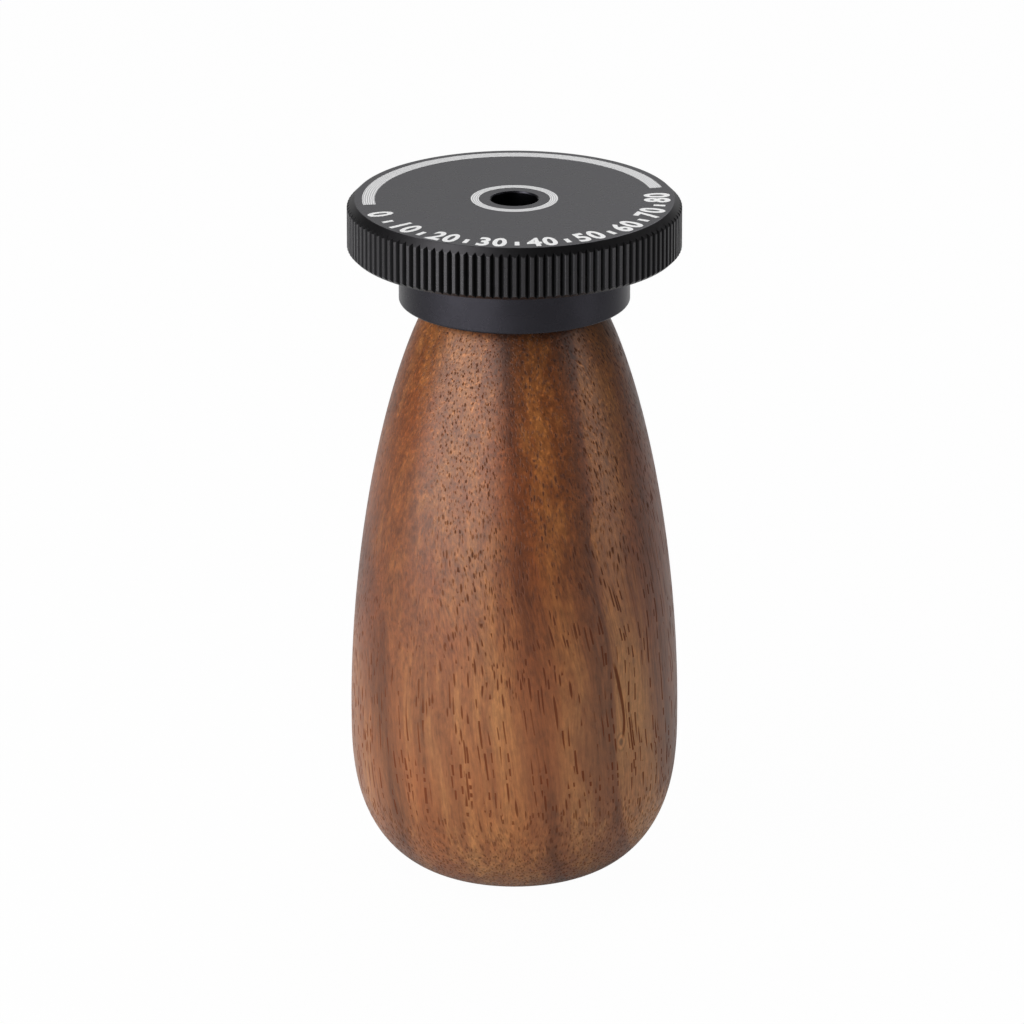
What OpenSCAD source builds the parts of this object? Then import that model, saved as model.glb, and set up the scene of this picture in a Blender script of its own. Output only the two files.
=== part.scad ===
// Painting handle for miniatures: a turned walnut grip that carries a knurled
// turntable on a shielded ball bearing. The origin is the middle of the foot.

/* [Handle] */
// Height of the wooden grip
handle_h = 66.4; // [55:0.2:90]
// Diameter of the flat that it stands on
foot_d = 15.3; // [10:0.1:24]
// Largest diameter of the grip
belly_d = 36.6; // [30:0.2:46]
// Height of the largest diameter above the foot
belly_z = 18.4; // [12:0.2:26]
// Wood left round the socket at the neck
neck_wall = 2; // [1:0.1:3.5]

/* [Turntable] */
// Diameter over the knurled rim
disc_d = 37; // [32:0.5:46]
// Height of the rim
disc_h = 5.8; // [5:0.1:9]
// Bevel round the top face
top_bevel = 0.85; // [0.4:0.05:1.2]
// Bevel under the rim
low_bevel = 0.45; // [0.1:0.05:0.8]
// Number of knurling grooves
groove_count = 120; // [60:4:140]
// Depth of a groove
groove_depth = 0.32; // [0.1:0.02:0.36]
// Angle between the two walls of a groove
groove_angle = 90; // [60:5:95]
// Diameter of the hole for a pin or a hex key
pin_hole_d = 5.2; // [3:0.1:6.4]
// Bevel at both ends of that hole
pin_bevel = 0.15; // [0.05:0.05:0.4]
// Running gap between the rim and the collar
rim_gap = 0.2; // [0.1:0.05:0.6]

/* [Collar] */
// Metal between the bearing and the wood
seat_floor = 1.8; // [1.2:0.1:4]
// Height of the hub that rises into the turntable
hub_h = 1.2; // [0.4:0.1:2]
// Wall of the hub round the bearing
hub_wall = 1.7; // [0.8:0.1:3]
// Width of the step outside the hub
collar_step = 1.6; // [0.8:0.1:3]
// Small bevel on the collar's edges
collar_bevel = 0.2; // [0.1:0.05:0.5]
// Wall of the spigot that stands in the wood
spigot_wall = 1.7; // [1:0.1:2.6]
// Floor of the spigot under the washer
spigot_floor = 2; // [1:0.1:4]

/* [Bearing] */
// Bore of the inner ring
bearing_bore = 10; // [9:0.5:11]
// Radial height of the bearing, from its bore to its outside
bearing_section = 4.5; // [4.2:0.1:6]
// Width of both rings
bearing_w = 5; // [4.5:0.1:7]
// Diameter of a ball
ball_d = 2.381; // [1.8:0.001:2.7]
// Number of balls
ball_count = 10; // [6:1:10]
// Depth of the ball track in each ring
track_depth = 0.33; // [0.2:0.01:0.45]
// Sheet of the two shields
shield_t = 0.25; // [0.15:0.05:0.35]
// Sheet of the two cage halves
cage_t = 0.2; // [0.1:0.05:0.3]
// Shank of a cage rivet
rivet_d = 0.6; // [0.4:0.05:0.8]

/* [Screw] */
// Thread diameter of the screw
screw_d = 5; // [3:0.5:5]
// Length under the head
screw_l = 16; // [12:1:25]
// Diameter of the head
head_d = 8.5; // [7:0.1:9.4]
// Height of the head
head_h = 5; // [3:0.1:6]
// Width across the flats of the hex socket
key_w = 4; // [2.5:0.5:5]
// Depth of the hex socket
key_depth = 2.5; // [1.5:0.1:2.8]
// Outside diameter of the washer
washer_d = 10; // [9.5:0.1:12]
// Thickness of the washer
washer_t = 1; // [0.5:0.1:1.6]
// Outside diameter of the threaded insert
insert_d = 8; // [7:0.1:10]
// Length of the threaded insert
insert_l = 12; // [8:0.5:18]

/* [Hidden] */
$fn = 96;

// Clearances
cut_over = 0.5;
hub_gap = 0.3;
boss_h = 0.3;
boss_inset = 0.05;
stem_short = 0.2;
stem_bevel = 0.3;
head_room = 2.4;
chamber_gap = 0.3;
socket_gap = 0.1;
socket_end_gap = 0.2;
pilot_end_gap = 1;
thread_gap = 0.05;
washer_gap = 0.15;
screw_hole_gap = 0.25;
ball_gap = 0.04;
pocket_gap = 0.05;
cage_side_gap = 0.3;
shield_gap = 0.15;
relief_h = 0.4;

// Small bevels and details
ring_bevel = 0.3;
spigot_bevel = 0.4;
seat_lead = 0.2;
head_bevel = 0.4;
tip_bevel = 0.5;
washer_bevel = 0.1;
insert_bevel = 0.5;
slot_w = 1;
slot_h = 1.6;
shield_step = 0.55;
shield_depth = 0.6;
shield_rim = 0.25;
shield_rim_h = 0.5;
rivet_head_d = 1;
rivet_head_h = 0.2;

// Pure numbers: how full the curves of the grip are, and how open a ball track is
foot_r_power = 1.9;
foot_z_power = 2.8;
flank_r_power = 1.3;
flank_z_power = 1.93;
curve_steps = 40;
track_share = 1.05;
rivet_taper_share = 0.6;

// Radii that follow from the sizes above
disc_r = disc_d / 2;
pin_r = pin_hole_d / 2;
stem_r = bearing_bore / 2;
seat_r = stem_r + bearing_section;
pitch_r = (stem_r + seat_r) / 2;
ball_r = ball_d / 2;
inner_track_r = pitch_r - ball_r - ball_gap;
outer_track_r = pitch_r + ball_r + ball_gap;
inner_land_r = inner_track_r + track_depth;
outer_land_r = outer_track_r - track_depth;
track_r = ball_r * track_share;
shield_r = outer_land_r + shield_step;
cage_in_r = inner_land_r + cage_side_gap;
cage_out_r = outer_land_r - cage_side_gap;
pocket_r = ball_r + pocket_gap;
shell_r = pocket_r + cage_t;
boss_r = inner_land_r - boss_inset;
hub_r = seat_r + hub_wall;
recess_r = hub_r + hub_gap;
collar_r = hub_r + collar_step;
chamber_r = washer_d / 2 + chamber_gap;
spigot_r = chamber_r + spigot_wall;
socket_r = spigot_r + socket_gap;
neck_r = socket_r + neck_wall;
belly_r = belly_d / 2;
foot_r = foot_d / 2;
insert_r = insert_d / 2;
screw_r = screw_d / 2;

// Heights that follow from the sizes above
seat_z = handle_h + seat_floor;
hub_z = seat_z + bearing_w;
collar_z = hub_z - hub_h;
rim_z = collar_z + rim_gap;
top_z = rim_z + disc_h;
recess_z = hub_z + boss_h;
stem_z = seat_z + stem_short;
ball_z = seat_z + bearing_w / 2;
head_z = stem_z - head_room - head_h;
floor_z = head_z - washer_t;
spigot_z = floor_z - spigot_floor;
socket_z = spigot_z - socket_end_gap;
insert_z = socket_z - insert_l;
tip_z = head_z - screw_l;
pilot_z = min(insert_z, tip_z) - pilot_end_gap;

ball_names = [for (i = [1:ball_count]) str("bearing_ball_", i)];

// Outline of the grip from the foot up to the widest place
function foot_curve() = [
    for (i = [0:curve_steps])
        let (a = 90 * i / curve_steps)
        [
            foot_r + (belly_r - foot_r) * pow(sin(a), 2 / foot_r_power),
            belly_z * (1 - pow(cos(a), 2 / foot_z_power))
        ]
];

// Outline from the widest place up to the neck
function flank_curve() = [
    for (i = [1:curve_steps])
        let (a = 90 * i / curve_steps)
        [
            neck_r + (belly_r - neck_r) * pow(cos(a), 2 / flank_r_power),
            belly_z + (handle_h - belly_z) * pow(sin(a), 2 / flank_z_power)
        ]
];

// Turned walnut grip, with the socket for the spigot and the hole for the insert
module handle_body() {
    color("saddlebrown")
        rotate_extrude()
            polygon(concat(
                [[0, 0]],
                foot_curve(),
                flank_curve(),
                [
                    [socket_r, handle_h],
                    [socket_r, socket_z],
                    [insert_r, socket_z],
                    [insert_r, pilot_z],
                    [0, pilot_z]
                ]
            ));
}

// Brass insert in the wood, with a slot to turn it in by
module threaded_insert() {
    bore_r = screw_r + thread_gap;
    color("goldenrod")
        difference() {
            rotate_extrude()
                polygon([
                    [bore_r, insert_z],
                    [insert_r - insert_bevel, insert_z],
                    [insert_r, insert_z + insert_bevel],
                    [insert_r, socket_z],
                    [bore_r, socket_z]
                ]);
            translate([0, 0, socket_z])
                cube([insert_d + cut_over, slot_w, 2 * slot_h], center = true);
        }
}

// Collar: seat of the bearing, step under the rim and hollow spigot in one turned piece
module collar() {
    hole_r = screw_r + screw_hole_gap;
    color("dimgray")
        rotate_extrude()
            polygon([
                [seat_r + seat_lead, hub_z],
                [hub_r, hub_z],
                [hub_r, collar_z],
                [collar_r - collar_bevel, collar_z],
                [collar_r, collar_z - collar_bevel],
                [collar_r, handle_h + collar_bevel],
                [collar_r - collar_bevel, handle_h],
                [spigot_r, handle_h],
                [spigot_r, spigot_z + spigot_bevel],
                [spigot_r - spigot_bevel, spigot_z],
                [hole_r, spigot_z],
                [hole_r, floor_z],
                [chamber_r, floor_z],
                [chamber_r, seat_z - relief_h],
                [outer_land_r, seat_z - relief_h],
                [outer_land_r, seat_z],
                [seat_r, seat_z],
                [seat_r, hub_z - seat_lead]
            ]);
}

// Flat washer on the floor of the spigot
module screw_washer() {
    in_r = screw_r + washer_gap;
    out_r = washer_d / 2;
    color("silver")
        rotate_extrude()
            polygon([
                [in_r, floor_z],
                [out_r, floor_z],
                [out_r, head_z - washer_bevel],
                [out_r - washer_bevel, head_z],
                [in_r, head_z]
            ]);
}

// Socket head screw that holds the collar down on the wood
module collar_screw() {
    head_r = head_d / 2;
    head_top = head_z + head_h;
    color("gray")
        difference() {
            rotate_extrude()
                polygon([
                    [0, tip_z],
                    [screw_r - tip_bevel, tip_z],
                    [screw_r, tip_z + tip_bevel],
                    [screw_r, head_z],
                    [head_r, head_z],
                    [head_r, head_top - head_bevel],
                    [head_r - head_bevel, head_top],
                    [0, head_top]
                ]);
            translate([0, 0, head_top - key_depth])
                linear_extrude(key_depth + cut_over)
                    circle(d = key_w / cos(30), $fn = 6);
        }
}

// Ball track: the ring-shaped groove that the balls run in
module track(centre_r) {
    translate([0, 0, ball_z])
        rotate_extrude()
            translate([centre_r, 0])
                circle(track_r);
}

// Outer ring, with a step at each face for its shield
module bearing_outer_ring() {
    color("lightsteelblue")
        difference() {
            rotate_extrude()
                polygon([
                    [outer_land_r, seat_z + shield_depth],
                    [shield_r, seat_z + shield_depth],
                    [shield_r, seat_z],
                    [seat_r - ring_bevel, seat_z],
                    [seat_r, seat_z + ring_bevel],
                    [seat_r, hub_z - ring_bevel],
                    [seat_r - ring_bevel, hub_z],
                    [shield_r, hub_z],
                    [shield_r, hub_z - shield_depth],
                    [outer_land_r, hub_z - shield_depth]
                ]);
            track(outer_track_r - track_r);
        }
}

// Inner ring, pressed on the stem of the turntable
module bearing_inner_ring() {
    color("lightsteelblue")
        difference() {
            rotate_extrude()
                polygon([
                    [stem_r + ring_bevel, seat_z],
                    [inner_land_r, seat_z],
                    [inner_land_r, hub_z],
                    [stem_r + ring_bevel, hub_z],
                    [stem_r, hub_z - ring_bevel],
                    [stem_r, seat_z + ring_bevel]
                ]);
            track(inner_track_r + track_r);
        }
}

// Pressed sheet shield with its rim turned up, lying on a step at step_z
module shield(step_z) {
    in_r = inner_land_r + shield_gap;
    color("silver")
        translate([0, 0, step_z])
            rotate_extrude()
                polygon([
                    [in_r, 0],
                    [shield_r, 0],
                    [shield_r, shield_rim_h],
                    [shield_r - shield_rim, shield_rim_h],
                    [shield_r - shield_rim, shield_t],
                    [in_r, shield_t]
                ]);
}

// Upper shield, rim upwards
module bearing_shield_upper() {
    shield(hub_z - shield_depth);
}

// Lower shield, the same piece the other way up
module bearing_shield_lower() {
    translate([0, 0, seat_z + shield_depth])
        mirror([0, 0, 1])
            shield(0);
}

// Puts its child at the place of ball number i, counted from 1
module at_ball(i) {
    rotate([0, 0, 360 * (i - 1) / ball_count])
        translate([pitch_r, 0, 0])
            children();
}

// One ball
module bearing_ball(i) {
    color("gainsboro")
        translate([0, 0, ball_z])
            at_ball(i)
                sphere(ball_r);
}

// One rivet, along Z, with a head on each side of the two cage halves
module rivet() {
    cylinder(h = 2 * cage_t, d = rivet_d, center = true);
    for (side = [0, 1])
        mirror([0, 0, side])
            translate([0, 0, cage_t])
                cylinder(h = rivet_head_h, d1 = rivet_head_d, d2 = rivet_head_d * rivet_taper_share);
}

// Pressed cage half: a flat ring with half-round pockets that hang below it
module cage_half() {
    color("darkkhaki")
        difference() {
            intersection() {
                union() {
                    translate([0, 0, -cage_t])
                        cylinder(h = cage_t, r = cage_out_r);
                    for (i = [1:ball_count])
                        at_ball(i)
                            sphere(shell_r);
                }
                translate([0, 0, -shell_r - cut_over])
                    difference() {
                        cylinder(h = shell_r + cut_over, r = cage_out_r);
                        translate([0, 0, -cut_over])
                            cylinder(h = shell_r + 3 * cut_over, r = cage_in_r);
                    }
            }
            for (i = [1:ball_count]) {
                at_ball(i)
                    sphere(pocket_r);
                rotate([0, 0, 180 / ball_count])
                    at_ball(i)
                        cylinder(h = 2 * cage_t + cut_over, d = rivet_d, center = true);
            }
        }
}

// Lower half of the cage
module cage_half_lower() {
    translate([0, 0, ball_z])
        cage_half();
}

// Upper half of the cage, the same piece turned over
module cage_half_upper() {
    translate([0, 0, ball_z])
        mirror([0, 0, 1])
            cage_half();
}

// The rivets that join the two halves, one between each two balls
module cage_rivets() {
    color("silver")
        translate([0, 0, ball_z])
            rotate([0, 0, 180 / ball_count])
                for (i = [1:ball_count])
                    at_ball(i)
                        rivet();
}

// V-shaped groove down the whole rim, on the +X side
module rim_groove() {
    reach = groove_depth + cut_over;
    half_w = reach * tan(groove_angle / 2);
    translate([disc_r - groove_depth, 0, rim_z - cut_over])
        linear_extrude(disc_h + 2 * cut_over)
            polygon([[0, 0], [reach, -half_w], [reach, half_w]]);
}

// Knurled disc with its hollow stem, one turned piece
module turntable_disc() {
    color("#2b2b2e")
        difference() {
            rotate_extrude()
                polygon([
                    [pin_r + pin_bevel, top_z],
                    [disc_r - top_bevel, top_z],
                    [disc_r, top_z - top_bevel],
                    [disc_r, rim_z + low_bevel],
                    [disc_r - low_bevel, rim_z],
                    [recess_r, rim_z],
                    [recess_r, recess_z],
                    [boss_r, recess_z],
                    [boss_r, hub_z],
                    [stem_r, hub_z],
                    [stem_r, stem_z + stem_bevel],
                    [stem_r - stem_bevel, stem_z],
                    [pin_r + pin_bevel, stem_z],
                    [pin_r, stem_z + pin_bevel],
                    [pin_r, top_z - pin_bevel]
                ]);
            for (i = [1:groove_count])
                rotate([0, 0, 180 * (2 * i - 1) / groove_count])
                    rim_groove();
        }
}

handle_body();
threaded_insert();
collar();
screw_washer();
collar_screw();
bearing_outer_ring();
bearing_shield_lower();
bearing_shield_upper();
bearing_inner_ring();
turntable_disc();
cage_half_lower();
cage_half_upper();
cage_rivets();
for (i = [1:ball_count])
    bearing_ball(i);
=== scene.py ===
import math

import bpy
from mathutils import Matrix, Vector


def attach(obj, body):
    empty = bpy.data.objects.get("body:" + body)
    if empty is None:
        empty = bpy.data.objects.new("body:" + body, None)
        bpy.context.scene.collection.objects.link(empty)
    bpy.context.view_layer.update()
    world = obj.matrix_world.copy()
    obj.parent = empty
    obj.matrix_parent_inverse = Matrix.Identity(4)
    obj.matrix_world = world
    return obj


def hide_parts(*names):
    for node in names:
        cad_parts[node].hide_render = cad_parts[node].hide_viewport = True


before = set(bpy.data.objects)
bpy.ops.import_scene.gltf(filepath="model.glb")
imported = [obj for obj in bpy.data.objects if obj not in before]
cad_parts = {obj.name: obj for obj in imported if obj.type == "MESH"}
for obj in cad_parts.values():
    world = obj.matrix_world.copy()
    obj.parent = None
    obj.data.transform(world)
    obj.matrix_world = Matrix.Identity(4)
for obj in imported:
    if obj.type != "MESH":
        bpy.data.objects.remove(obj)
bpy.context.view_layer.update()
mm = 0.001


# small tools

def linearColour(hexText):
    # sRGB hex to the linear values that the shader sockets take
    values = [int(hexText[i:i + 2], 16) / 255 for i in (0, 2, 4)]
    return [v / 12.92 if v <= 0.04045 else ((v + 0.055) / 1.055) ** 2.4 for v in values] + [1.0]


def addNode(tree, kind, links=(), stops=(), **settings):
    # adds one node; links maps a socket's name or number to a value, a node or a socket
    node = tree.nodes.new(kind)
    for key, value in settings.items():
        setattr(node, key, value)
    for key, value in dict(links).items():
        named = [s for s in node.inputs if s.name == key and s.enabled]
        socket = node.inputs[key] if isinstance(key, int) else named[0]
        if isinstance(value, bpy.types.Node):
            value = next(s for s in value.outputs if s.enabled)
        if isinstance(value, bpy.types.NodeSocket):
            tree.links.new(value, socket)
        else:
            socket.default_value = value
    for number, (position, colour) in enumerate(stops):
        ramp = node.color_ramp.elements
        element = ramp[number] if number < len(ramp) else ramp.new(position)
        element.position = position
        element.color = linearColour(colour) if isinstance(colour, str) else [colour, colour, colour, 1]
    return node


def startMaterial(name):
    material = bpy.data.materials.new(name)
    material.use_nodes = True
    material.node_tree.nodes.clear()
    return material, material.node_tree


def finishMaterial(tree, shader):
    addNode(tree, "ShaderNodeOutputMaterial", {"Surface": shader})


def millimetres(tree):
    # object coordinates in millimetres
    place = addNode(tree, "ShaderNodeTexCoord").outputs["Object"]
    return addNode(tree, "ShaderNodeMapping", {"Vector": place, "Scale": (1000, 1000, 1000)})


# walnut: open-pored hardwood, turned, sanded and oiled
# Straight fibres that lean a little, soft dark growth bands, and vessels that show as dots
# where the surface cuts across them and as dashes where it runs along them.

walnutLook = {
    "golden": "BD834E", "brown": "905A35", "band": "62381E",   # from early wood to the late wood line
    "red": "99572E",                      # warmer patches
    "deepTone": "D9C5AD",                 # multiplies the colour towards the neck
    "pore": "6A2D07", "poreDeep": "4C250F",   # vessels, cut shallow at the belly and deeper off it
    "roughness": 0.34, "poreRoughness": 0.9,
    "poreDepth": 0.05, "fibreRelief": 0.25,   # mm, and the fibres' share of it
    "bump": 0.5, "gleamsAt": 0.1, "dullAt": -0.6,         # strength, and the relief that gleams or is dull
    "leanDegrees": 5.4,                   # fibres against the axis
    "leanShift": -3.1,                    # mm, puts the lean's zero half way up
    "bendFrom": 24, "bendRate": 0.0036,   # mm and per mm: fibres lean out of the surface towards the neck
    "waves": ((18, 34, 3.4), (3.5, 9, 1.1)),   # slow and quick waviness: width, length and reach in mm
    "ringCentre": 160, "ringReach": 22,   # mm from the axis to the middle of the tree, and to the last ring
    "softBelly": 0.6,                     # share of fibres and cells that shows at the belly
    "poreSpacing": 0.5, "finePoreSpacing": 0.42,          # mm
    "poreHalf": (0.23, 0.34), "finePoreHalf": (0.1, 0.24),   # in spacings, from the dark core to the edge
    "poreDiffer": 0.12, "poreThinner": 0.05,              # in spacings, among the vessels and higher up
    "finePores": 0.55, "fineFoot": 1.5,   # strength of the fine vessels, and how much stronger at the foot
    "widePoresFoot": 0.45,                # share of the wide ones that is left at the foot
    "plugRows": 60, "plugs": 0.54, "plugNoise": (0.44, 0.48),   # plugs in the vessels, per mm
    "shortBelow": 17, "shorter": 0.5,     # mm and per mm: more plugs, so shorter vessels, low down
    "columnSize": (20 / 9, 25), "columnShift": (1, 4, 2), "columnNoise": (0.44, 0.52),   # mm
    "knot": (11.8, -13.9, 19.2), "knotFlat": 0.62,   # mm, one pin knot, longer along the fibres
    "knotRings": [(0, 0.35), (0.2, 0.5), (0.36, 1.25), (0.5, 1.2), (0.62, 0.75), (0.8, 1)],   # mm and tone
    "seam": (12.2, 22.0, 0.03),           # mm, mm and per mm: one open vessel swings round the knot
    "seamHalf": (0.102, 0.204), "seamWave": 1.2,     # mm
    "seamFrom": 19.2, "seamTo": 29.0, "seamFade": 1.2,   # mm
}
# growth rings, in mm from the axis: how dark the wood is there (0 early wood, 1 late wood line)
ringDarkness = [
    (-22, 0.4), (-18, 0.4), (-16.8, 0.75), (-15, 1.0), (-14.1, 0.95), (-13.2, 0.55), (-12, 0.4), (-11, 0.5),
    (-7.2, 0.4), (-6.2, 0.25), (-3, 0.25), (-1.6, 0.15), (0.4, 0.3), (1.6, 0.4), (2.4, 0.7), (2.9, 1.0),
    (3.5, 0.95), (4.1, 0.55), (5, 0.38), (6, 0.2), (7.8, 0.4), (9.4, 0.6), (10.6, 0.82), (11.1, 0.08),
    (13.8, 0.0), (15.2, 0.45), (16.4, 0.8), (22, 0.5),
]
# what changes up or across the wood: a route, from and to in mm, and the value at each of the two
# height and side follow the fibres, x and z the grip itself
walnutRamps = {
    "swing": ("height", 27, 43, 0, 1.3),              # mm, the fibres swing aside half way up
    "fade": ("height", 2, 14, 0.86, 1),               # the bands fade where the foot cuts across them
    "deep": ("height", 18, 40, 0, 1),                 # the colour is deeper towards the neck
    "aboveBelly": ("height", 18, 42, 0, 1),
    "footward": ("height", 14.5, 6, 0, 1),            # below the belly the vessels are fine dots
    "flecked": ("height", 40, 58, 0, 1),              # ray flecks show near the neck
    "fullBelow": ("height", 24, 46, 0.13, 0.02),      # the columns of vessels are fuller low down
    "fullFoot": ("height", 18, 13, 0, 0.06),
    "poreStrength": ("height", 2, 11, 0.7, 0.88),
    "plain": ("side", -9, -4.5, 0.75, 0),             # few vessels on the left above the belly
    "neckHeight": ("height", 58, 64.5, 0, 0.52),      # painted shade: the neck is darker to the right of its middle
    "neckSide": ("side", 0.6, 2.9, 0, 1),
    "leftHeight": ("height", 46, 56, 0, 0.15),        # and painted shade, a little, at both edges
    "leftSide": ("side", -5, -2.5, 1, 0),
    "rightHeight": ("height", 46, 56, 0, 0.26),
    "rightSide": ("side", 10.8, 12.8, 0, 1),
    "edgeHeight": ("z", 8, 1.5, 0, 0.27),             # painted shade: the foot is darker, most of all on the right
    "edgeSide": ("x", 3, 11, 1, 1.7),
    "stainAndShade": ("z", 64.6, 66.2, 1, 0.15),              # painted shade under the collar
}
softRamps = ("swing", "deep", "neckSide")             # these start and end gently
# patterns along the fibres: width and length in mm, shift, octaves and their roughness,
# the part of the noise that counts, and what it gives at each end of that part
walnutPatterns = {
    "streak": ((10 / 9, 100 / 3), (0, 0, 0), (3, 0.6), (0.3, 0.7), (-0.25, 0.25)),   # breaks up the bands
    "patch": ((7, 22), (3.2, 0, 1.7), (2, 0.5), (0.42, 0.68), (0, 0.6)),             # warmer patches
    "fine": ((0.22, 50 / 21), (0, 0, 0), (3, 0.65), (0.25, 0.75), (-0.38, 0.38)),    # fine fibres
    "mottle": ((0.5, 1.1), (0, 0, 0), (3, 0.62), (0.3, 0.7), (-0.26, 0.26)),         # light and dark cells
    "fleck": ((1 / 3, 0.5), (7, 3, 5), (1, 0.5), (0.56, 0.7), (0, 0.6)),             # pale ray flecks
}


def makeWalnut():
    look = walnutLook
    material, tree = startMaterial("walnutOiledSatin")
    place = addNode(tree, "ShaderNodeTexCoord").outputs["Object"]
    straight = addNode(tree, "ShaderNodeMapping", {
        "Vector": place, "Scale": (1000, 1000, 1000),
        "Rotation": (0, math.radians(look["leanDegrees"]), 0), "Location": (look["leanShift"], 0, 0)})
    axes = addNode(tree, "ShaderNodeSeparateXYZ", {0: straight})
    onGrip = addNode(tree, "ShaderNodeSeparateXYZ", {0: millimetres(tree)})
    routes = {"height": axes.outputs["Z"], "side": axes.outputs["X"],
              "z": onGrip.outputs["Z"], "x": onGrip.outputs["X"]}
    ramps = {}
    for name, (route, start, end, first, last) in walnutRamps.items():
        ramps[name] = addNode(tree, "ShaderNodeMapRange", {
            "Value": routes[route], "From Min": start, "From Max": end, "To Min": first, "To Max": last},
            interpolation_type="SMOOTHSTEP" if name in softRamps else "LINEAR")

    # the way of the fibres, with slow and then quick waviness
    above = addNode(tree, "ShaderNodeMath", {0: routes["height"], 1: look["bendFrom"]}, operation="SUBTRACT")
    aboveOnly = addNode(tree, "ShaderNodeMath", {0: above, 1: 0.0}, operation="MAXIMUM")
    aboveSquared = addNode(tree, "ShaderNodeMath", {0: aboveOnly, 1: aboveOnly}, operation="MULTIPLY")
    leant = addNode(tree, "ShaderNodeMath", {
        0: aboveSquared, 1: look["bendRate"], 2: axes.outputs["Y"]}, operation="MULTIPLY_ADD")
    aside = addNode(tree, "ShaderNodeMath", {0: routes["side"], 1: ramps["swing"]}, operation="ADD")
    grain = addNode(tree, "ShaderNodeCombineXYZ", {0: aside, 1: leant, 2: routes["height"]})
    bent = [grain]
    for width, length, reach in look["waves"]:
        wavePlace = addNode(tree, "ShaderNodeMapping", {
            "Vector": grain, "Scale": (1 / width, 1 / width, 1 / length)})
        wave = addNode(tree, "ShaderNodeTexNoise", {"Vector": wavePlace, "Scale": 1, "Detail": 1})
        waveShift = addNode(tree, "ShaderNodeVectorMath", {
            0: wave.outputs["Color"], 1: (0.5, 0.5, 0.5)}, operation="SUBTRACT")
        waveBend = addNode(tree, "ShaderNodeVectorMath", {0: waveShift, "Scale": reach}, operation="SCALE")
        bent.append(addNode(tree, "ShaderNodeVectorMath", {0: bent[-1], 1: waveBend}, operation="ADD"))
    slowBent, fibre = bent[1:]
    noises, shares = {}, {}
    for name, ((width, length), shift, (octaves, roughness), part, ends) in walnutPatterns.items():
        cellPlace = addNode(tree, "ShaderNodeMapping", {
            "Vector": grain if name == "patch" else fibre,
            "Scale": (1 / width, 1 / width, 1 / length), "Location": shift})
        noises[name] = addNode(tree, "ShaderNodeTexNoise", {
            "Vector": cellPlace, "Scale": 1, "Detail": octaves, "Roughness": roughness}).outputs["Fac"]
        shares[name] = addNode(tree, "ShaderNodeMapRange", {
            "Value": noises[name], "From Min": part[0], "From Max": part[1],
            "To Min": ends[0], "To Max": ends[1]})

    # growth bands: distance from the middle of the tree, then a dark line that stops short
    centre, reach = look["ringCentre"], look["ringReach"]
    fromCentre = addNode(tree, "ShaderNodeMapping", {
        "Vector": slowBent, "Location": (centre, 0, 0), "Scale": (1, 1, 0)})
    distance = addNode(tree, "ShaderNodeVectorMath", {0: fromCentre}, operation="LENGTH").outputs["Value"]
    ringPlace = addNode(tree, "ShaderNodeMapRange", {
        "Value": distance, "From Min": centre - reach, "From Max": centre + reach})
    ring = addNode(tree, "ShaderNodeValToRGB", {"Fac": ringPlace},
                   stops=[((spot + reach) / (2 * reach), dark) for spot, dark in ringDarkness])
    faded = addNode(tree, "ShaderNodeMath", {0: ring, 1: ramps["fade"]}, operation="MULTIPLY")
    darkness = addNode(tree, "ShaderNodeMath", {
        0: faded, 1: shares["streak"]}, operation="ADD", use_clamp=True)
    wood = addNode(tree, "ShaderNodeValToRGB", {"Fac": darkness},
                   stops=[(0.0, look["golden"]), (0.45, look["brown"]), (1.0, look["band"])])
    patched = addNode(tree, "ShaderNodeMix", {
        "Factor": shares["patch"], "A": wood, "B": linearColour(look["red"])}, data_type="RGBA")
    warm = addNode(tree, "ShaderNodeMix", {
        "Factor": ramps["deep"], "A": patched, "B": linearColour(look["deepTone"])},
        data_type="RGBA", blend_type="MULTIPLY")

    # fibres, cells and flecks make the colour lighter and darker
    offBelly = addNode(tree, "ShaderNodeMath", {
        0: ramps["aboveBelly"], 1: ramps["footward"]}, operation="MAXIMUM")
    crisp = addNode(tree, "ShaderNodeMapRange", {
        "Value": offBelly, "To Min": look["softBelly"], "To Max": 1.0})
    grainShift = addNode(tree, "ShaderNodeMath", {0: shares["fine"], 1: shares["mottle"]}, operation="ADD")
    cells = addNode(tree, "ShaderNodeMath", {0: grainShift, 1: crisp, 2: 1.0}, operation="MULTIPLY_ADD")
    brighter = addNode(tree, "ShaderNodeMath", {
        0: shares["fleck"], 1: ramps["flecked"], 2: 1.0}, operation="MULTIPLY_ADD")
    tones = addNode(tree, "ShaderNodeMath", {0: cells, 1: brighter}, operation="MULTIPLY")
    fibred = addNode(tree, "ShaderNodeVectorMath", {0: warm, "Scale": tones}, operation="SCALE")

    # vessels: long thin tubes along the fibres, cut open by the turned surface
    tubes = []
    for spacing in (look["poreSpacing"], look["finePoreSpacing"]):
        tubePlace = addNode(tree, "ShaderNodeMapping", {
            "Vector": fibre, "Scale": (1 / spacing, 1 / spacing, 1)})
        tubes.append(addNode(tree, "ShaderNodeTexVoronoi", {
            "Vector": tubePlace, "Scale": 1}, voronoi_dimensions="2D"))
    wide, fine = tubes
    kind = addNode(tree, "ShaderNodeSeparateColor", {0: wide.outputs["Color"]})
    wideEdge = addNode(tree, "ShaderNodeMath", {
        0: kind.outputs[0], 1: look["poreDiffer"], 2: wide.outputs["Distance"]}, operation="MULTIPLY_ADD")
    wideThin = addNode(tree, "ShaderNodeMath", {
        0: ramps["aboveBelly"], 1: look["poreThinner"], 2: wideEdge}, operation="MULTIPLY_ADD")
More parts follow.
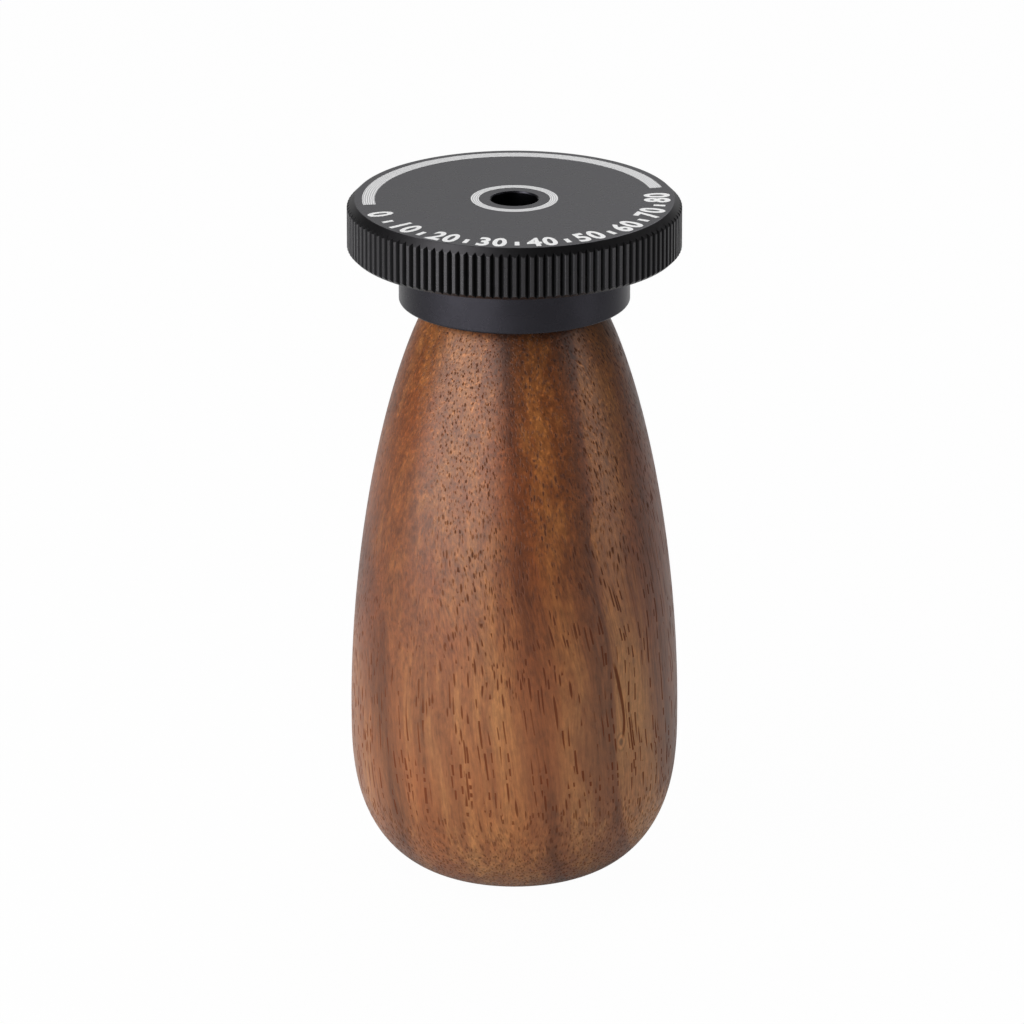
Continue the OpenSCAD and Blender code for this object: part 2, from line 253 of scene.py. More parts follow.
    # each wide vessel is plugged in places
    below = addNode(tree, "ShaderNodeMath", {
        0: routes["height"], 1: look["shortBelow"]}, operation="SUBTRACT")
    belowOnly = addNode(tree, "ShaderNodeMath", {0: below, 1: 0.0}, operation="MINIMUM")
    plugSteady = addNode(tree, "ShaderNodeMath", {
        0: routes["height"], 1: look["plugs"]}, operation="MULTIPLY")
    plugHeight = addNode(tree, "ShaderNodeMath", {
        0: belowOnly, 1: look["shorter"], 2: plugSteady}, operation="MULTIPLY_ADD")
    plugRow = addNode(tree, "ShaderNodeMath", {0: kind.outputs[1], 1: look["plugRows"]}, operation="MULTIPLY")
    plugPlace = addNode(tree, "ShaderNodeCombineXYZ", {0: plugRow, 1: plugHeight})
    plugs = addNode(tree, "ShaderNodeTexNoise", {
        "Vector": plugPlace, "Scale": 1, "Detail": 0}, noise_dimensions="2D")
    # and they stand in loose columns
    width, length = look["columnSize"]
    columnPlace = addNode(tree, "ShaderNodeMapping", {
        "Vector": fibre, "Scale": (1 / width, 1 / width, 1 / length), "Location": look["columnShift"]})
    columns = addNode(tree, "ShaderNodeTexNoise", {"Vector": columnPlace, "Scale": 1, "Detail": 2})
    fuller = addNode(tree, "ShaderNodeMath", {0: ramps["fullBelow"], 1: ramps["fullFoot"]}, operation="ADD")
    columnRise = addNode(tree, "ShaderNodeMath", {0: columns.outputs["Fac"], 1: fuller}, operation="ADD")
    # and one long open vessel swings round the knot, on the front only; a word is an earlier result
    seamX, seamZ, seamBend = look["seam"]
    seamMiddle = (look["seamFrom"] + look["seamTo"]) / 2
    seamEnd = look["seamTo"] - seamMiddle
    seam = {**routes, "y": onGrip.outputs["Y"], "wave": wave.outputs["Fac"]}
    for name, operation, *terms in (
            ("rise", "SUBTRACT", "z", seamZ), ("square", "MULTIPLY", "rise", "rise"),
            ("bend", "MULTIPLY_ADD", "square", seamBend, "x"), ("aside", "SUBTRACT", "bend", seamX),
            ("rough", "SUBTRACT", "wave", 0.5), ("wavy", "MULTIPLY_ADD", "rough", look["seamWave"], "aside"),
            ("off", "ABSOLUTE", "wavy"), ("along", "SUBTRACT", "z", seamMiddle),
            ("far", "ABSOLUTE", "along"), ("front", "LESS_THAN", "y", 0.0)):
        seam[name] = addNode(tree, "ShaderNodeMath", {
            i: seam.get(term, term) for i, term in enumerate(terms)}, operation=operation)
    wideShape, fineShape, openPart, columnPart, footPart, seamLine, seamLong = [
        addNode(tree, "ShaderNodeMapRange", {
            "Value": value, "From Min": start, "From Max": end, "To Min": first, "To Max": last})
        for value, (start, end), first, last in (
            (wideThin, look["poreHalf"], 1.0, 0.0),
            (fine.outputs["Distance"], look["finePoreHalf"], look["finePores"], 0.0),
            (plugs.outputs["Fac"], look["plugNoise"], 0.0, 1.0),
            (columnRise, look["columnNoise"], 0.0, 1.0),
            (ramps["footward"], (0.0, 1.0), 1.0, look["widePoresFoot"]),
            (seam["off"], look["seamHalf"], 1.0, 0.0),
            (seam["far"], (seamEnd - look["seamFade"], seamEnd), 1.0, 0.0))]
    widePore = wideShape
    for part in (openPart, columnPart, footPart):
        widePore = addNode(tree, "ShaderNodeMath", {0: widePore, 1: part}, operation="MULTIPLY")
    fineAmount = addNode(tree, "ShaderNodeMath", {
        0: ramps["footward"], 1: look["fineFoot"], 2: ramps["aboveBelly"]}, operation="MULTIPLY_ADD")
    finePore = addNode(tree, "ShaderNodeMath", {0: fineShape, 1: fineAmount}, operation="MULTIPLY")
    eachPore = addNode(tree, "ShaderNodeMath", {0: widePore, 1: finePore}, operation="MAXIMUM")
    plainShare = addNode(tree, "ShaderNodeMath", {
        0: ramps["plain"], 1: ramps["aboveBelly"]}, operation="MULTIPLY")
    poredShare = addNode(tree, "ShaderNodeMath", {0: 1.0, 1: plainShare}, operation="SUBTRACT")
    anyPore = addNode(tree, "ShaderNodeMath", {0: eachPore, 1: poredShare}, operation="MULTIPLY")

    seamPore = seamLine
    for part in (seamLong, seam["front"]):
        seamPore = addNode(tree, "ShaderNodeMath", {0: seamPore, 1: part}, operation="MULTIPLY")
    pore = addNode(tree, "ShaderNodeMath", {0: anyPore, 1: seamPore}, operation="MAXIMUM")
    poreShare = addNode(tree, "ShaderNodeMath", {0: pore, 1: ramps["poreStrength"]}, operation="MULTIPLY")
    poreTone = addNode(tree, "ShaderNodeMix", {
        "Factor": offBelly, "A": linearColour(look["pore"]), "B": linearColour(look["poreDeep"])},
        data_type="RGBA")
    pored = addNode(tree, "ShaderNodeMix", {
        "Factor": poreShare, "A": fibred, "B": poreTone}, data_type="RGBA")

    # a pin knot, with a dark heart in a pale ring, and painted shade on parts of neck and foot
    knotX, knotY, knotZ = look["knot"]
    flat = look["knotFlat"]
    flattened = addNode(tree, "ShaderNodeMapping", {"Vector": place, "Scale": (1000, 1000, 1000 * flat)})
    fromKnot = addNode(tree, "ShaderNodeVectorMath", {
        0: flattened, 1: (knotX, knotY, knotZ * flat)}, operation="DISTANCE")
    tone = addNode(tree, "ShaderNodeValToRGB", {"Fac": fromKnot.outputs["Value"]}, stops=look["knotRings"])
    # painted shade on the neck, at the edges above the belly and at the foot
    paintedShade = 0.0
    for part in ("neck", "left", "right", "edge"):
        paintedShade = addNode(tree, "ShaderNodeMath", {
            0: ramps[part + "Height"], 1: ramps[part + "Side"], 2: paintedShade}, operation="MULTIPLY_ADD")
    unshaded = addNode(tree, "ShaderNodeMath", {0: 1.0, 1: paintedShade}, operation="SUBTRACT")
    # the painted shade, and the painted shade under the collar, darken the tone
    for part in (unshaded, ramps["stainAndShade"]):
        tone = addNode(tree, "ShaderNodeMath", {0: tone, 1: part}, operation="MULTIPLY")
    finished = addNode(tree, "ShaderNodeVectorMath", {0: pored, "Scale": tone}, operation="SCALE")

    # the vessels are a little deeper than the oiled surface, and duller
    height = addNode(tree, "ShaderNodeMath", {
        0: noises["fine"], 1: look["fibreRelief"]}, operation="MULTIPLY")
    relief = addNode(tree, "ShaderNodeMath", {0: height, 1: pore}, operation="SUBTRACT")
    bump = addNode(tree, "ShaderNodeBump", {
        "Height": relief, "Strength": look["bump"], "Distance": look["poreDepth"] * mm})
    rough = addNode(tree, "ShaderNodeMapRange", {
        "Value": relief, "From Min": look["dullAt"], "From Max": look["gleamsAt"],
        "To Min": look["poreRoughness"], "To Max": look["roughness"]})
    shader = addNode(tree, "ShaderNodeBsdfPrincipled", {
        "Base Color": finished, "Roughness": rough, "Normal": bump})
    finishMaterial(tree, shader)
    return material


# black anodised aluminium: turned, fine blasted, dyed black
# A dark satin with a very fine even tooth; the light shows on edges and at low angles.
# The cutter leaves the grooves of the rim rougher than the lands, and painted shade makes them almost black,
# while the crests between them are painted paler: a painted highlight, with a little rubbing by fingers.

blackLook = {
    "shade": ("353439", "3D3C42"), "cloudWidth": 20 / 7,   # mm, clouds of slightly different dye
    "toothWidth": 1 / 7, "toothDepth": 0.01,               # mm, drawn coarser than the real 0.05 mm, to show
    "roughness": (0.26, 0.29), "grooveRoughness": 0.5,
    "bump": 0.7, "cloudPart": (0.3, 0.7),
    "gleam": (0.94, 0.94, 0.94, 1.0),                      # the dye takes a little of the light at low angles
    # painted shade: the grooves are darker than the lands
    "groove": "202021",
    "crestHighlight": "4A494B", "crestHighlightFrom": 18.42, "crestHighlightTo": 18.49,   # mm from the axis; the crests get a painted highlight, with a little rubbing
    "bevel": "3D3C3E", "bevelFrom": 17.6, "bevelTo": 17.7,     # mm; the bevels are a little paler
    "bevelRougher": 0.1,                                       # and have a softer gleam
}


def makeBlackAnodised():
    look = blackLook
    material, tree = startMaterial("aluminiumBlastedBlackAnodised")
    place = millimetres(tree)
    tooth, cloud = [addNode(tree, "ShaderNodeTexNoise", {
        "Vector": place, "Scale": 1 / look[part + "Width"], "Detail": octaves})
        for part, octaves in (("tooth", 2), ("cloud", 3))]
    flat = addNode(tree, "ShaderNodeMapping", {"Vector": place, "Scale": (1, 1, 0)})
    radius = addNode(tree, "ShaderNodeVectorMath", {0: flat}, operation="LENGTH").outputs["Value"]
    # where the crests get their painted highlight, and where the bevels are
    crestHighlight, onBevel = [addNode(tree, "ShaderNodeMapRange", {
        "Value": radius, "From Min": look[part + "From"], "From Max": look[part + "To"]})
        for part in ("crestHighlight", "bevel")]
    # how deep a point lies in a groove: painted shade and a rougher finish there
    groove = addNode(tree, "ShaderNodeAttribute", attribute_name="inGroove").outputs["Fac"]
    colour = linearColour(look["shade"][0])
    for share, tone in ((cloud.outputs["Fac"], look["shade"][1]), (onBevel, look["bevel"]),
                        (crestHighlight, look["crestHighlight"]), (groove, look["groove"])):
        colour = addNode(tree, "ShaderNodeMix", {
            "Factor": share, "A": colour, "B": linearColour(tone)}, data_type="RGBA")
    bump = addNode(tree, "ShaderNodeBump", {
        "Height": tooth.outputs["Fac"], "Strength": look["bump"], "Distance": look["toothDepth"] * mm})
    rough = addNode(tree, "ShaderNodeMapRange", {
        "Value": cloud.outputs["Fac"], "From Min": look["cloudPart"][0], "From Max": look["cloudPart"][1],
        "To Min": look["roughness"][0], "To Max": look["roughness"][1]})
    bevelOnly = addNode(tree, "ShaderNodeMath", {0: onBevel, 1: crestHighlight}, operation="SUBTRACT")
    bevelled = addNode(tree, "ShaderNodeMath", {
        0: bevelOnly, 1: look["bevelRougher"], 2: rough}, operation="MULTIPLY_ADD")
    roughened = addNode(tree, "ShaderNodeMix", {
        "Factor": groove, "A": bevelled, "B": look["grooveRoughness"]}, data_type="FLOAT")
    shader = addNode(tree, "ShaderNodeBsdfPrincipled", {
        "Base Color": colour, "Metallic": 1.0, "Roughness": roughened, "Normal": bump,
        "Specular Tint": look["gleam"]})
    finishMaterial(tree, shader)
    return material


# laser-etched marks: the dye is burnt out of the anodising and bare pale oxide shows
# Pale matt grey-white with faint lines along the laser's path, which runs round the axis.

waveRepeat = math.tau / 20   # a wave texture of scale 1 repeats after this length
etchLook = {
    "hatch": 0.241661, "speck": 1 / 9,    # mm; the laser's lines are drawn coarser than real, to show
    "hatchShare": 0.7, "shareFrom": 0.45, "shareTo": 1.2, "metallic": 0.3, "roughness": 0.5,
}


def makeEtchedMark(name, dark, light):
    look = etchLook
    material, tree = startMaterial(name)
    place = millimetres(tree)
    hatch = addNode(tree, "ShaderNodeTexWave", {
        "Vector": place, "Scale": waveRepeat / look["hatch"], "Distortion": 1.8, "Detail": 2,
        "Detail Scale": 0.5}, wave_type="RINGS", rings_direction="Z")
    speck = addNode(tree, "ShaderNodeTexNoise", {"Vector": place, "Scale": 1 / look["speck"], "Detail": 2})
    mixed = addNode(tree, "ShaderNodeMath", {
        0: hatch.outputs["Fac"], 1: look["hatchShare"], 2: speck.outputs["Fac"]}, operation="MULTIPLY_ADD")
    share = addNode(tree, "ShaderNodeMapRange", {
        "Value": mixed, "From Min": look["shareFrom"], "From Max": look["shareTo"]})
    shade = addNode(tree, "ShaderNodeMix", {
        "Factor": share, "A": linearColour(dark), "B": linearColour(light)}, data_type="RGBA")
    shader = addNode(tree, "ShaderNodeBsdfPrincipled", {
        "Base Color": shade, "Metallic": look["metallic"], "Roughness": look["roughness"]})
    finishMaterial(tree, shader)
    return material


# metals inside the head

metalLook = {
    "coarser": 6.5797,             # tool rings are drawn this many times wider apart than real, to show
    "bump": 0.4, "stainWidth": 10 / 11, "stainPart": (0.3, 0.7),   # mm, faint stains
    "roughness": (-0.04, 0.06),    # in the clean parts and in the stained ones
}


def makeTurnedMetal(name, light, dark, roughness, lineSpacing, lineDepth):
    # rings left by the lathe or the grinding wheel, round the Z axis; lineSpacing and lineDepth in mm
    look = metalLook
    material, tree = startMaterial(name)
    place = millimetres(tree)
    lines = addNode(tree, "ShaderNodeTexWave", {
        "Vector": place, "Scale": waveRepeat / (lineSpacing * look["coarser"]), "Distortion": 1.5,
        "Detail": 2, "Detail Scale": 2}, wave_type="RINGS", rings_direction="Z")
    stainAndShade = addNode(tree, "ShaderNodeTexNoise", {
        "Vector": place, "Scale": 1 / look["stainWidth"], "Detail": 4})
    shade = addNode(tree, "ShaderNodeMix", {
        "Factor": stainAndShade.outputs["Fac"], "A": linearColour(light), "B": linearColour(dark)}, data_type="RGBA")
    bump = addNode(tree, "ShaderNodeBump", {
        "Height": lines.outputs["Fac"], "Strength": look["bump"], "Distance": lineDepth * mm})
    rough = addNode(tree, "ShaderNodeMapRange", {
        "Value": stainAndShade.outputs["Fac"], "From Min": look["stainPart"][0], "From Max": look["stainPart"][1],
        "To Min": roughness + look["roughness"][0], "To Max": roughness + look["roughness"][1]})
    shader = addNode(tree, "ShaderNodeBsdfPrincipled", {
        "Base Color": shade, "Metallic": 1.0, "Roughness": rough, "Normal": bump})
    finishMaterial(tree, shader)
    return material


print("materials")
walnut = makeWalnut()
blackAnodised = makeBlackAnodised()
etchedBand = makeEtchedMark("anodisingLaserEtchedPale", "B0B0B2", "FCFCFC")
etchedFigure = makeEtchedMark("anodisingLaserEtchedWhite", "F6F6F6", "FFFFFF")   # burnt deeper, so whiter
nodeFinishes = {
    # brass bar, turned: warm yellow with fine tool rings
    makeTurnedMetal("brassTurned", "D9B96E", "BF9850", 0.28, 0.12, 0.004): ["threaded_insert"],
    # chrome bearing steel, ground: bright and nearly mirror-like
    makeTurnedMetal("bearingSteelGround", "C9CBCE", "B9BBBF", 0.14, 0.05, 0.001):
        ["bearing_outer_ring", "bearing_inner_ring"] + ["bearing_ball_%d" % (i + 1) for i in range(10)],
    # sheet steel, pressed: soft dull grey with a light orange peel
    makeTurnedMetal("sheetSteelPressed", "B4B4B6", "9C9CA0", 0.36, 0.3, 0.002):
        ["bearing_shield_lower", "bearing_shield_upper", "cage_half_lower", "cage_half_upper", "cage_rivets"],
    # zinc plate on steel: pale grey, slightly milky
    makeTurnedMetal("steelZincPlated", "C2C6CA", "A7ABB0", 0.4, 0.2, 0.002): ["screw_washer"],
    # black oxide on steel: deep blue-black with an oily gleam
    makeTurnedMetal("steelBlackOxide", "26272B", "18181B", 0.32, 0.15, 0.002): ["collar_screw"],
}
for finish, names in nodeFinishes.items():
    for name in names:
        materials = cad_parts[name].data.materials
        for i in range(len(materials)):
            materials[i] = finish
        if not len(materials):
            materials.append(finish)


# turning: an outline spun round the axis by Geometry Nodes

arcSteps = 4
closeEdge, closeRoom = 0.04, 0.1   # mm; a short edge beside each arc keeps the shading of flats even


def roundedOutline(corners):
    # corners are (radius, height, rounding) in mm; a rounded corner becomes a small arc
    points = []
    count = len(corners)
    for i, (r, z, rounding) in enumerate(corners):
        here = Vector((r, z))
        if rounding <= 0 or i in (0, count - 1):
            points.append(here)
            continue
        back = Vector(corners[i - 1][:2]) - here
        ahead = Vector(corners[i + 1][:2]) - here
        half = back.angle(ahead) / 2
        reach = rounding / math.tan(half)
        start, end = here + back.normalized() * reach, here + ahead.normalized() * reach
        if back.length > reach + closeRoom:
            points.append(start + back.normalized() * closeEdge)
        middle = here + (back.normalized() + ahead.normalized()).normalized() * (rounding / math.sin(half))
        for step in range(arcSteps + 1):
            ray = (start - middle).lerp(end - middle, step / arcSteps).normalized() * rounding
            points.append(middle + ray)
        if ahead.length > reach + closeRoom:
            points.append(end + ahead.normalized() * closeEdge)
    return [(p.x * mm, 0, p.y * mm) for p in points]


def newTree(name, inputs):
    tree = bpy.data.node_groups.new(name, "GeometryNodeTree")
    tree.interface.new_socket("Geometry", in_out="INPUT", socket_type="NodeSocketGeometry")
    for label, kind, default in inputs:
        socket = tree.interface.new_socket(label, in_out="INPUT", socket_type="NodeSocket" + kind)
        if default is not None:
            socket.default_value = default
    tree.interface.new_socket("Geometry", in_out="OUTPUT", socket_type="NodeSocketGeometry")
    return tree, tree.nodes.new("NodeGroupInput")


deepInGroove = 0.1    # mm, from here down a groove has the grooves' finish
seamGap = 0.001       # mm, points closer than this become one
sharpDegrees = 30


def makeLathe():
    # spins the outline, then cuts straight V grooves into the rim if a count is given
    tree, entry = newTree("turnOnLathe", [
        ("Segments", "Int", 128), ("Groove count", "Int", 0), ("Groove depth", "Float", 0.0),
        ("Rim radius", "Float", 1.0), ("Rim middle", "Float", 0.0), ("Finish", "Material", None)])
    known = {socket.name: socket for socket in entry.outputs}
    known["index"] = addNode(tree, "GeometryNodeInputIndex")
    # name, operation and terms of each sum, where a word is an input or an earlier sum
    for name, operation, *terms in (
            # row and column of each point; the small share keeps a whole number from falling short
            ("around", "ADD", "Segments", 1.0), ("rowShare", "DIVIDE", "index", "around"),
            ("rowNear", "ADD", "rowShare", 0.00001), ("row", "FLOOR", "rowNear"),
            ("before", "MULTIPLY", "row", "around"), ("column", "SUBTRACT", "index", "before"),
            # angle of the column, and its place in the groove: 0 in the middle of a groove
            ("turn", "DIVIDE", "column", "Segments"), ("angle", "MULTIPLY", "turn", math.tau),
            ("east", "COSINE", "angle"), ("north", "SINE", "angle"),
            ("grooves", "MAXIMUM", "Groove count", 1.0), ("grooveTurn", "MULTIPLY", "turn", "grooves"),
            ("grooveShare", "FRACT", "grooveTurn"), ("fromMiddle", "SUBTRACT", "grooveShare", 0.5),
            ("aside", "ABSOLUTE", "fromMiddle"), ("asideTurn", "DIVIDE", "aside", "grooves"),
            ("asideAngle", "MULTIPLY", "asideTurn", math.tau),
            # distance of the groove's wall from the axis
            ("cosine", "COSINE", "asideAngle"), ("sine", "SINE", "asideAngle"),
            ("slope", "SUBTRACT", "cosine", "sine"), ("bottom", "SUBTRACT", "Rim radius", "Groove depth"),
            ("wall", "DIVIDE", "bottom", "slope"), ("grooved", "GREATER_THAN", "Groove count", 0.5)):
        known[name] = addNode(tree, "ShaderNodeMath", {
            i: known.get(term, term) for i, term in enumerate(terms)}, operation=operation)
    size = addNode(tree, "GeometryNodeAttributeDomainSize", {0: known["Geometry"]})
    grid = addNode(tree, "GeometryNodeMeshGrid", {
        "Vertices X": size.outputs["Point Count"], "Vertices Y": known["around"]})
    outline = addNode(tree, "GeometryNodeSampleIndex", {
        "Geometry": known["Geometry"], "Value": addNode(tree, "GeometryNodeInputPosition"),
        "Index": known["row"]}, data_type="FLOAT_VECTOR", domain="POINT")
    parts = addNode(tree, "ShaderNodeSeparateXYZ", {0: outline}).outputs
    cut = addNode(tree, "ShaderNodeMath", {0: parts["X"], 1: known["wall"]}, operation="MINIMUM")
    radius = addNode(tree, "ShaderNodeMix", {
        "Factor": known["grooved"], "A": parts["X"], "B": cut}, data_type="FLOAT")
    # a groove runs out on the bevels, so what moves inwards also moves towards the nearer face
    moved = addNode(tree, "ShaderNodeMath", {0: parts["X"], 1: radius}, operation="SUBTRACT")
    side = addNode(tree, "ShaderNodeMath", {0: parts["Z"], 1: known["Rim middle"]}, operation="SUBTRACT")
    sign = addNode(tree, "ShaderNodeMath", {0: side}, operation="SIGN")
    spot = {2: addNode(tree, "ShaderNodeMath", {0: moved, 1: sign, 2: parts["Z"]}, operation="MULTIPLY_ADD")}
    for number, way in enumerate(("east", "north")):
        spot[number] = addNode(tree, "ShaderNodeMath", {0: known[way], 1: radius}, operation="MULTIPLY")
    # how deep each point lies in a groove, from 0 to 1, for the finish
    depthShare = addNode(tree, "ShaderNodeMath", {
        0: moved, 1: deepInGroove * mm}, operation="DIVIDE", use_clamp=True)
    marked = addNode(tree, "GeometryNodeStoreNamedAttribute", {
        "Geometry": grid.outputs["Mesh"], "Name": "inGroove", "Value": depthShare},
        data_type="FLOAT", domain="POINT")
    spun = addNode(tree, "GeometryNodeSetPosition", {
        "Geometry": marked, "Position": addNode(tree, "ShaderNodeCombineXYZ", spot)})
    closed = addNode(tree, "GeometryNodeMergeByDistance", {"Geometry": spun, "Distance": seamGap * mm})
    # corners that were left sharp stay sharp
    smooth = addNode(tree, "GeometryNodeSetShadeSmooth", {"Geometry": closed, "Shade Smooth": True})
    edge = addNode(tree, "GeometryNodeInputMeshEdgeAngle").outputs["Unsigned Angle"]
    steep = addNode(tree, "FunctionNodeCompare", {
        0: edge, 1: math.radians(sharpDegrees)}, data_type="FLOAT", operation="GREATER_THAN")
    sharp = addNode(tree, "GeometryNodeSetShadeSmooth", {
        "Geometry": smooth, "Selection": steep, "Shade Smooth": False}, domain="EDGE")
    real = addNode(tree, "GeometryNodeRealizeInstances", {"Geometry": sharp})
    painted = addNode(tree, "GeometryNodeSetMaterial", {"Geometry": real, "Material": known["Finish"]})
    addNode(tree, "NodeGroupOutput", {0: painted})
    return tree


def bakeNodes(name, mesh, tree, values):
    # runs a Geometry Nodes tree on a mesh and keeps the result as a plain mesh at the origin
    source = bpy.data.objects.new(name + "Source", mesh)
    bpy.context.scene.collection.objects.link(source)
    modifier = source.modifiers.new("nodes", "NODES")
    modifier.node_group = tree
    for item in tree.interface.items_tree:
        if item.item_type == "SOCKET" and item.in_out == "INPUT" and item.name in values:
            modifier[item.identifier] = values[item.name]
    bpy.context.view_layer.update()
    evaluated = source.evaluated_get(bpy.context.evaluated_depsgraph_get())
    result = bpy.data.meshes.new_from_object(evaluated)
    result.name = name
    bpy.data.objects.remove(source)
    volume = 0.0
    result.calc_loop_triangles()
    for triangle in result.loop_triangles:
        a, b, c = (result.vertices[v].co for v in triangle.vertices)
        volume += a.dot(b.cross(c))
    if volume < 0:
        result.flip_normals()
    piece = bpy.data.objects.new(name, result)
    bpy.context.scene.collection.objects.link(piece)
    return piece


def turnPiece(name, outline, finish, segments, **grooves):
    mesh = bpy.data.meshes.new(name + "Outline")
    mesh.from_pydata(outline, [(i, i + 1) for i in range(len(outline) - 1)], [])
    values = {"Segments": segments, "Finish": finish}
    values.update(grooves)
    piece = bakeNodes(name, mesh, lathe, values)
    print(name, len(piece.data.vertices), "points", len(piece.data.polygons), "faces")
    return piece


lathe = makeLathe()


# grip

gripSizes = {
    "height": 66.4, "foot": 7.65, "belly": 18.3, "bellyHeight": 18.4, "neck": 9.1,
    "footPowers": (1.9, 2.8), "flankPowers": (1.3, 1.93), "steps": 44,
    "socket": 7.1, "socketHeight": 57.8, "pilot": 4.0, "pilotHeight": 44.0,
}


def gripOutline():
    # two power curves meet at the belly, as the turner's template
    s = gripSizes
    quarter = [math.pi / 2 * i / s["steps"] for i in range(s["steps"] + 1)]
    points = [(0, 0)]
    for a in quarter:
        out, up = math.sin(a) ** (2 / s["footPowers"][0]), max(0.0, math.cos(a)) ** (2 / s["footPowers"][1])
        points.append((s["foot"] + (s["belly"] - s["foot"]) * out, s["bellyHeight"] * (1 - up)))
    for a in quarter[1:]:
        out, up = max(0.0, math.cos(a)) ** (2 / s["flankPowers"][0]), math.sin(a) ** (2 / s["flankPowers"][1])
        points.append((s["neck"] + (s["belly"] - s["neck"]) * out,
                       s["bellyHeight"] + (s["height"] - s["bellyHeight"]) * up))
    points += [(s["socket"], s["height"]), (s["socket"], s["socketHeight"]), (s["pilot"], s["socketHeight"]),
               (s["pilot"], s["pilotHeight"]), (0, s["pilotHeight"])]
    return [(r * mm, 0, z * mm) for r, z in points]


print("grip")
grip = turnPiece("grip", gripOutline(), walnut, 160)
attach(grip, "handle")
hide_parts("handle_body")


# collar

collarSizes = {
    "radius": 12.8, "low": 66.4, "high": 72.0, "edge": 0.22,
    "hub": 11.2, "hubTop": 73.2, "seat": 9.5, "seatLow": 68.2, "land": 8.15,
    "spigot": 7.0, "spigotLow": 58.0, "chamber": 5.3, "floor": 60.0, "screwHole": 2.75,
    "hubEdge": 0.1, "seatBevel": 0.2, "spigotBevel": 0.4, "landDepth": 0.4,
}


def collarOutline():
    s = collarSizes
    return roundedOutline([
        (s["seat"] + s["seatBevel"], s["hubTop"], 0), (s["hub"], s["hubTop"], s["hubEdge"]),
        (s["hub"], s["high"], 0), (s["radius"], s["high"], s["edge"]), (s["radius"], s["low"], s["edge"]),
        (s["spigot"], s["low"], 0), (s["spigot"], s["spigotLow"] + s["spigotBevel"], 0),
        (s["spigot"] - s["spigotBevel"], s["spigotLow"], 0), (s["screwHole"], s["spigotLow"], 0),
        (s["screwHole"], s["floor"], 0), (s["chamber"], s["floor"], 0),
        (s["chamber"], s["seatLow"] - s["landDepth"], 0), (s["land"], s["seatLow"] - s["landDepth"], 0),
        (s["land"], s["seatLow"], 0), (s["seat"], s["seatLow"], 0),
        (s["seat"], s["hubTop"] - s["seatBevel"], 0), (s["seat"] + s["seatBevel"], s["hubTop"], 0)])


print("collar")
collarRing = turnPiece("collarRing", collarOutline(), blackAnodised, 144)
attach(collarRing, "handle")
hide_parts("collar")


# turntable

discSizes = {
    "radius": 18.499, "top": 77.985, "low": 72.2, "topBevel": 0.85, "lowBevel": 0.45, "edge": 0.1,
    "grooves": 120, "grooveDepth": 0.32, "columnsPerGroove": 12,
    "grooveRows": (0.34, 0.24, 0.16, 0.09),   # mm in from the rim, rows on the bevels where grooves run out
    "recess": 11.5, "recessTop": 73.5, "boss": 6.3, "bossLow": 73.2, "stem": 5.0, "stemLow": 68.4,
    "hole": 2.6, "holeBevel": 0.15, "holeEdge": 0.04, "stemBevel": 0.3, "rimEdge": 0.06, "flatMiddle": 10,
}


def discOutline():
    s = discSizes
    topRows = [(s["radius"] - r, s["top"] - s["topBevel"] + r, 0) for r in s["grooveRows"]]
    lowRows = [(s["radius"] - r, s["low"] + s["lowBevel"] - r, 0) for r in reversed(s["grooveRows"])]
    return roundedOutline([
        (s["flatMiddle"], s["top"], 0), (s["radius"] - s["topBevel"], s["top"], s["edge"]), *topRows,
        (s["radius"], s["top"] - s["topBevel"], s["rimEdge"]),
        (s["radius"], s["low"] + s["lowBevel"], s["rimEdge"]), *lowRows,
        (s["radius"] - s["lowBevel"], s["low"], s["rimEdge"]), (s["recess"], s["low"], 0),
        (s["recess"], s["recessTop"], 0), (s["boss"], s["recessTop"], 0), (s["boss"], s["bossLow"], 0),
        (s["stem"], s["bossLow"], 0), (s["stem"], s["stemLow"] + s["stemBevel"], 0),
        (s["stem"] - s["stemBevel"], s["stemLow"], 0), (s["hole"] + s["holeBevel"], s["stemLow"], 0),
        (s["hole"], s["stemLow"] + s["holeBevel"], 0), (s["hole"], s["top"] - s["holeBevel"], s["holeEdge"]),
        (s["hole"] + s["holeBevel"], s["top"], s["holeEdge"]), (s["flatMiddle"], s["top"], 0)])


print("turntable")
turntable = turnPiece(
    "turntableDisc", discOutline(), blackAnodised, discSizes["grooves"] * discSizes["columnsPerGroove"],
    **{"Groove count": discSizes["grooves"], "Groove depth": discSizes["grooveDepth"] * mm,
       "Rim radius": discSizes["radius"] * mm, "Rim middle": (discSizes["low"] + discSizes["top"]) / 2 * mm})
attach(turntable, "turntable")
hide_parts("turntable_disc")


# marks on the top face

markSizes = {
    "low": 77.98, "top": 78.0,
    "ring": (3.93, 4.82),                 # round the hole
    "band": (15.4, 16.8), "bandFrom": 14, "bandTo": 188,    # degrees, anticlockwise from +X
    "numberBase": 17.05, "capHeight": 2.8, "numberWidth": 0.8, "numberBold": 0.13,
    "fontPerCap": 1.37, "numberSpace": 1.12,
    "firstNumber": 201, "numberAngle": 20, "numberStep": 10, "numbers": 9,
    "tick": (15.5, 16.8), "tickWidth": 0.5, "stepDegrees": 2,
}


